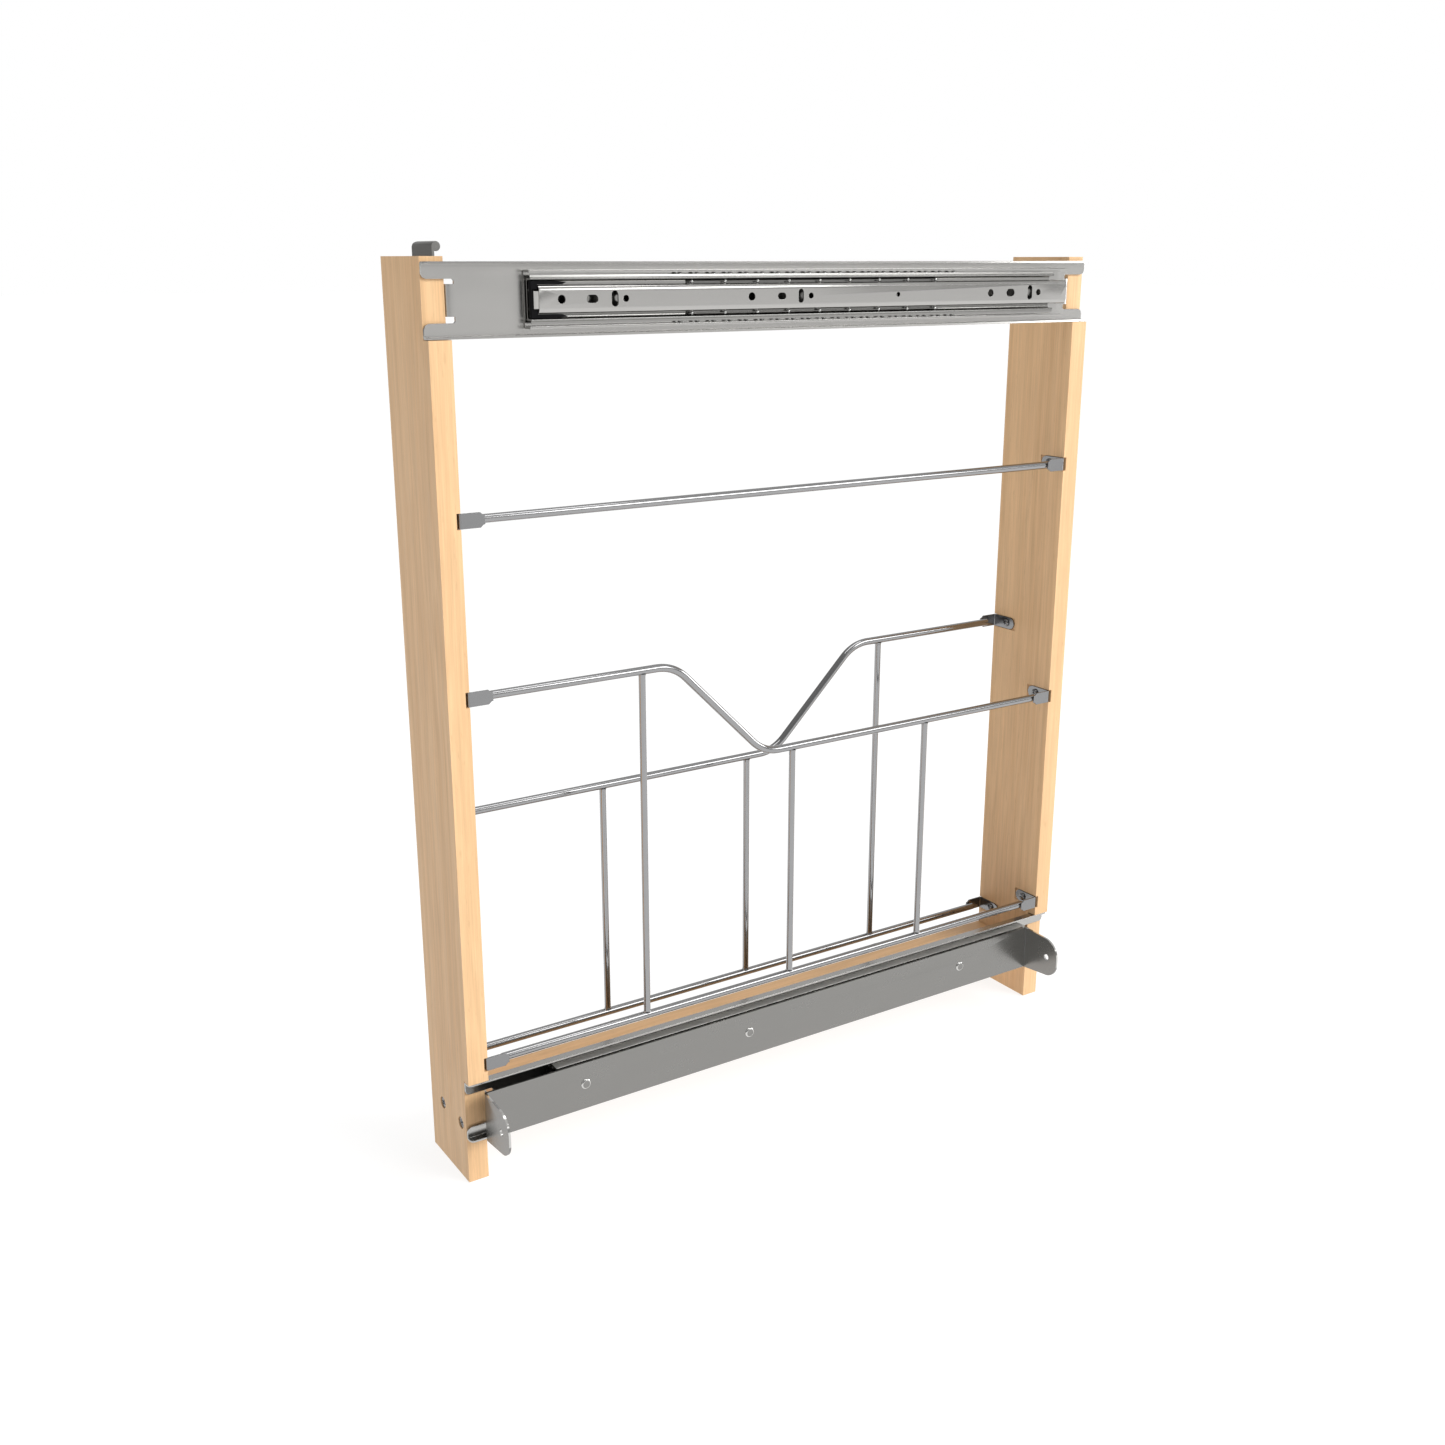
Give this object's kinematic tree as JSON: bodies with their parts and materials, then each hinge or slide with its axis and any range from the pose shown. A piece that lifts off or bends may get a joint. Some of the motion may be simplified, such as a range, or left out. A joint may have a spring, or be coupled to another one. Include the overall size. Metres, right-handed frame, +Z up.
{
  "type": "pull-out cabinet organiser",
  "caption": "Narrow pull-out organiser for a base cabinet: a wooden frame with a towel rail and an upright wire rack, carried by ball-bearing slides at the top and bottom.",
  "frame": {"origin": "A point on the front ear's fixing face (the face that turns away from the cabinet), 15 mm in front of the boards' near edges and level with the middle of the bottom slide.", "axes": "+X runs from the front board to the rear board, so the carriage pulls out along -X; +Y runs from the slide side to the far side; +Z is up."},
  "size_m": [0.545, 0.113, 0.6358],
  "materials": {
    "board_wood": "clear-coated pale hardwood, grain running up the boards",
    "shelf_wood": "clear-coated pale hardwood, grain running along the shelf",
    "channel_steel": "zinc-plated sheet steel",
    "slide_steel": "bright zinc-plated rolled steel",
    "cage_steel": "plated strip with polished balls",
    "bracket_steel": "zinc-plated sheet steel, satin",
    "clip_steel": "plated sheet steel",
    "chrome_wire": "chrome-plated round wire",
    "screw_steel": "zinc-plated screw",
    "black_plastic": "moulded black plastic"
  },
  "bodies": {
    "cabinet_side": {"mount_bracket": "bracket_steel", "top_slide_inner": "slide_steel", "bottom_slide_inner": "slide_steel"},
    "mid_rails": {"top_slide_mid": "slide_steel", "bottom_slide_mid": "slide_steel", "top_slide_bumper": "black_plastic", "bottom_slide_bumper": "black_plastic"},
    "outer_cages": {"top_outer_cage": "cage_steel", "bottom_outer_cage": "cage_steel"},
    "inner_cages": {"top_inner_cage": "cage_steel", "bottom_inner_cage": "cage_steel"},
    "carriage": {"front_board": "board_wood", "rear_board": "board_wood", "bottom_shelf": "shelf_wood", "top_channel": "channel_steel", "bottom_channel": "channel_steel", "top_slide_outer": "slide_steel", "top_channel_screw_front": "screw_steel", "top_channel_screw_rear": "screw_steel", "bottom_slide_outer": "slide_steel", "bottom_channel_screw_front": "screw_steel", "bottom_channel_screw_rear": "screw_steel", "top_catch": "bracket_steel", "towel_rail": "chrome_wire", "near_panel_base": "chrome_wire", "near_panel_rail": "chrome_wire", "far_panel_base": "chrome_wire", "far_panel_rail": "chrome_wire", "near_panel_bar_1": "chrome_wire", "near_panel_bar_2": "chrome_wire", "near_panel_bar_3": "chrome_wire", "far_panel_bar_1": "chrome_wire", "far_panel_bar_2": "chrome_wire", "far_panel_bar_3": "chrome_wire", "towel_clip_front": "clip_steel", "towel_clip_rear": "clip_steel", "near_base_clip_front": "clip_steel", "near_base_clip_rear": "clip_steel", "near_high_clip": "clip_steel", "near_low_clip": "clip_steel", "far_base_clip_front": "clip_steel", "far_base_clip_rear": "clip_steel", "far_high_clip": "clip_steel", "far_low_clip": "clip_steel", "towel_clip_front_screw": "screw_steel", "towel_clip_rear_screw": "screw_steel", "near_base_clip_front_screw": "screw_steel", "near_base_clip_rear_screw": "screw_steel", "near_high_clip_screw": "screw_steel", "near_low_clip_screw": "screw_steel", "far_base_clip_front_screw": "screw_steel", "far_base_clip_rear_screw": "screw_steel", "far_high_clip_screw": "screw_steel", "far_low_clip_screw": "screw_steel", "shelf_screw_front_1": "screw_steel", "shelf_screw_front_2": "screw_steel", "shelf_screw_rear_1": "screw_steel", "shelf_screw_rear_2": "screw_steel", "top_catch_screw": "screw_steel"}
  },
  "joints": [
    {"name": "pull_out", "type": "slide", "parent": "cabinet_side", "child": "carriage", "axis": [-1, 0, 0], "range_m": [0, 0.42]},
    {"name": "mid_travel", "type": "slide", "parent": "cabinet_side", "child": "mid_rails", "axis": [-1, 0, 0], "range_m": [0, 0.21]},
    {"name": "outer_cage_travel", "type": "slide", "parent": "cabinet_side", "child": "outer_cages", "axis": [-1, 0, 0], "range_m": [0, 0.315]},
    {"name": "inner_cage_travel", "type": "slide", "parent": "cabinet_side", "child": "inner_cages", "axis": [-1, 0, 0], "range_m": [0, 0.105]}
  ],
  "couplings": [
    {"joint": "mid_travel", "follows": "pull_out", "ratio": 0.5},
    {"joint": "outer_cage_travel", "follows": "pull_out", "ratio": 0.75},
    {"joint": "inner_cage_travel", "follows": "pull_out", "ratio": 0.25}
  ]
}
